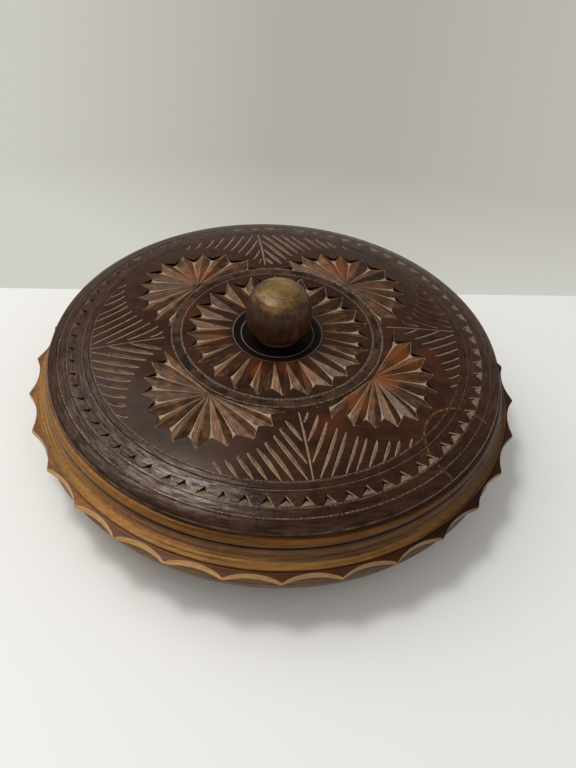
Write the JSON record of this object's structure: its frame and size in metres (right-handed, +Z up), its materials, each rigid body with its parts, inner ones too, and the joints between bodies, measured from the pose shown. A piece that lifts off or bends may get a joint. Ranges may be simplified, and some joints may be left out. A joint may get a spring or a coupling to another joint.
{
  "type": "lidded wooden bowl",
  "caption": "Shallow turned wooden bowl with a scalloped rim flange and a lift-off domed lid, chip-carved with rosettes and sprays, with a turned round knob.",
  "frame": {"origin": "on the table under the centre of the bowl's foot", "axes": "+Z up along the turning axis; the lid's four leaf sprays lie along +X, +Y, -X and -Y, and the picture looks roughly along +Y"},
  "size_m": [0.2356, 0.2345, 0.088],
  "materials": {
    "bowl_wood": "satin oiled, golden brown with dark stained grooves",
    "lid_wood": "satin to glossy dark brown stain, rubbed lighter on the carved edges",
    "knob_wood": "satin dark brown, worn olive yellow on top"
  },
  "bodies": {
    "bowl": {"bowl": "bowl_wood"},
    "lid": {"lid": "lid_wood", "knob": "knob_wood"}
  },
  "joints": [
    {"name": "lid_lift", "type": "slide", "parent": "bowl", "child": "lid", "axis": [0, 0, 1], "range_m": [0, 0.1]}
  ]
}
